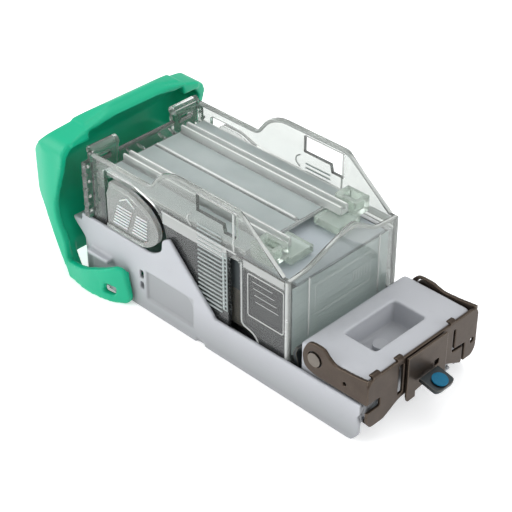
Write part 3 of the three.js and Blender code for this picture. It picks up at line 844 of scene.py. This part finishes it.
# Edges of the front wall's middle part, and a plain panel with marks between them.
def caseFrontBeads():
    look = frontBeadLook
    x = look["x"]
    mesh = bmesh.new()
    for _, sign in sides:
        y = sign * look["edge"]
        addTube(mesh, [(x, y, look["edgeLow"]), (x, y, look["edgeHigh"])], look["edgeRadius"])
    addTube(mesh, rounded(onFront(look["panel"], x), look["panelRounding"]), look["panelRadius"])
    for i in range(look["marks"]):
        y = look["markStart"] + i * look["markPitch"]
        addTube(mesh, [(x, y, look["markLow"]), (x, y, look["markHigh"])], look["markRadius"])
    casePiece("case_front_beads", mesh, "frosted")


paneLook = {
    "strips": ((0.8, 10.2), (14.4, 21.0)),  # near and far from the middle
    "rear": -45.4, "front": 16.6, "low": 41.5, "high": 41.7, "bevel": 0.06,
}


# Thin matt panes let into the lid, beside the middle ridge and beyond the rails.
def lidPanes():
    look = paneLook
    mesh = bmesh.new()
    for _, sign in sides:
        for near, far in look["strips"]:
            addSideBox(mesh, sign, near, far, look["rear"], look["front"], look["low"], look["high"])
    casePiece("lid_panes", mesh, "pane", look["bevel"])


# sideways place, height, rear end, front end and radius
lidBeadLook = {
    "ridge": (0, 42.2, -44.6, 15.6, 0.42),
    "pairs": (  # one of each on both sides
        (10.95, 44.3, -44.6, 23.6, 0.32),
        (13.65, 44.3, -44.6, 23.6, 0.32),
        (21.2, 41.5, -45.6, 16.6, 0.3),
    ),
}


# Rolled edges of the lid, of its ridge and of both walls of its rails, in a bright white that paints their
# highlights.
def lidHighlightBeads():
    lines = [lidBeadLook["ridge"]]
    for _, sign in sides:
        lines += [(sign * y, *rest) for y, *rest in lidBeadLook["pairs"]]
    mesh = bmesh.new()
    for y, z, rear, front, radius in lines:
        addTube(mesh, onSide([(rear, z), (front, z)], y), radius)
    casePiece("lid_highlight_beads", mesh, "paintedHighlight")


rollLook = {
    "x": -49.85, "z": 43.1, "reach": 11.6, "radius": 0.75, "steps": 12,
    "ribs": (-9, -4.5, 4.5, 9), "ribPath": [(-48.9, 42.4), (-47.4, 41.8), (-45.6, 41.8)], "ribRadius": 0.5,
}


# Rolled top of the rear wall between the two tabs, and the ribs below it.
def rearRoll():
    look = rollLook
    ends = onFront([(-look["reach"], look["z"]), (look["reach"], look["z"])], look["x"])
    mesh = bmesh.new()
    addTube(mesh, ends, look["radius"], look["steps"])
    for y in look["ribs"]:
        addTube(mesh, onSide(look["ribPath"], y), look["ribRadius"])
    casePiece("case_rear_roll", mesh, "clear")


tabLook = {
    "places": ((-20.6, 3.4), (-10.6, 2.6), (12.6, 2.4)),  # middle and width of each
    "outline": [(65.7, 22.6), (66.5, 22.9), (66.4, 24.0), (65.6, 24.5), (64.5, 24.3), (64.5, 23.7),
                (65.2, 23.6)],
    "bevel": 0.2, "segments": 3,
}


# Tabs of the face plate bent back over the head block.
def plateTabs():
    outline = tabLook["outline"]
    mesh = bmesh.new()
    for y, width in tabLook["places"]:
        near, far = [[mesh.verts.new(Vector(point) * mm) for point in onSide(outline, edge)]
                     for edge in (y - width / 2, y + width / 2)]
        mesh.faces.new(near)
        mesh.faces.new(list(reversed(far)))
        for k in range(len(outline)):
            after = (k + 1) % len(outline)
            mesh.faces.new((near[k], far[k], far[after], near[after]))
    piece = newPiece("face_plate_tabs", mesh, tabLook["bevel"], tabLook["segments"])
    dress(piece, "bronze", "face")


for side, sign in sides:
    slotGuide(side, sign)
    caseLadder(side, sign)
    caseBeads(side, sign)
    caseBand(side, sign)
    flangeBumps(side, sign)
    padMarks(side, sign)
caseRims()
caseFrontBeads()
lidPanes()
lidHighlightBeads()
rearRoll()
plateTabs()
print("raised lines, bands and tabs made")

floorLook = {
    "base": (240, 241, 242), "light": (246, 246, 247), "cloud": 300, "roughness": 0.7, "glow": 0.4,
    "size": 4000, "drop": 0.05,
}


def floorFinish():
    shade = Shade("studioFloor")
    cloud = shade.noise(floorLook["cloud"], 2)
    return shade.surface({
        "Base Color": shade.mix(cloud, floorLook["base"], floorLook["light"]),
        "Roughness": cloud * 0.05 + floorLook["roughness"],
        "Emission Color": (1, 1, 1, 1),
        "Emission Strength": floorLook["glow"],
    })


def studioFloor():
    mesh = bmesh.new()
    bmesh.ops.create_grid(mesh, x_segments=4, y_segments=4, size=floorLook["size"] * mm)
    data = bpy.data.meshes.new("studio_floor")
    mesh.to_mesh(data)
    mesh.free()
    floor = bpy.data.objects.new("studio_floor", data)
    bpy.context.scene.collection.objects.link(floor)
    floor.location.z = cadLow.z - floorLook["drop"] * mm
    data.materials.append(floorFinish())


# place, point it faces, size and power
softboxes = {
    "keySoftbox": ((-600, -700, 420), (-30, 0, 20), 600, 4.8),
    "fillSoftbox": ((900, 100, 500), (0, 0, 20), 600, 3.4),
    "topSoftbox": ((-100, 200, 900), (0, 0, 20), 800, 3.0),
}


def softbox(name, place, target, size, power):
    lamp = bpy.data.lights.new(name, "AREA")
    lamp.shape = "SQUARE"
    lamp.size = size * mm
    lamp.energy = power
    holder = bpy.data.objects.new(name, lamp)
    bpy.context.scene.collection.objects.link(holder)
    holder.location = Vector(place) * mm
    holder.rotation_euler = (Vector(target) - Vector(place)).to_track_quat("-Z", "Y").to_euler()


worldLook = {"side": 0.45, "top": 0.85, "topHeight": 0.6}


# Bright overhead, greyer towards the sides, so that clear edges show.
def studioWorld():
    shade = Shade("studio", "worlds")
    facing = shade.node("ShaderNodeTexCoord", out="Generated")
    height = shade.node("ShaderNodeSeparateXYZ", {}, {0: facing}, out="Z")
    light = shade.node("ShaderNodeMapRange", {}, {
        0: height, 1: 0.0, 2: worldLook["topHeight"], 3: worldLook["side"], 4: worldLook["top"]})
    backdrop = shade.node("ShaderNodeBackground", {}, {"Strength": light})
    shade.node("ShaderNodeOutputWorld", {}, {"Surface": backdrop})
    bpy.context.scene.world = shade.owner


cameraView = {
    "place": (259.6, -262.9, 282.4), "turn": 44.714, "tilt": 35.311, "roll": -0.141,
    "lens": 103.25, "sensor": 36,
}


def studioCamera():
    lens = bpy.data.cameras.new("studio_camera")
    lens.lens = cameraView["lens"]
    lens.sensor_width = cameraView["sensor"]
    holder = bpy.data.objects.new("studio_camera", lens)
    bpy.context.scene.collection.objects.link(holder)
    turn, tilt = math.radians(cameraView["turn"]), math.radians(cameraView["tilt"])
    back = Vector((math.sin(turn) * math.cos(tilt), -math.cos(turn) * math.cos(tilt), math.sin(tilt)))
    right = Vector((math.cos(turn), math.sin(turn), 0))
    up = back.cross(right)
    frameTurn = Matrix((right, up, back)).transposed().to_4x4()
    roll = Matrix.Rotation(math.radians(cameraView["roll"]), 4, "Z")
    holder.matrix_world = Matrix.Translation(Vector(cameraView["place"]) * mm) @ frameTurn @ roll
    bpy.context.scene.camera = holder


studioFloor()
studioWorld()
for name, values in softboxes.items():
    softbox(name, *values)
studioCamera()
bpy.context.scene.view_settings.view_transform = "Standard"
print("studio and camera set")
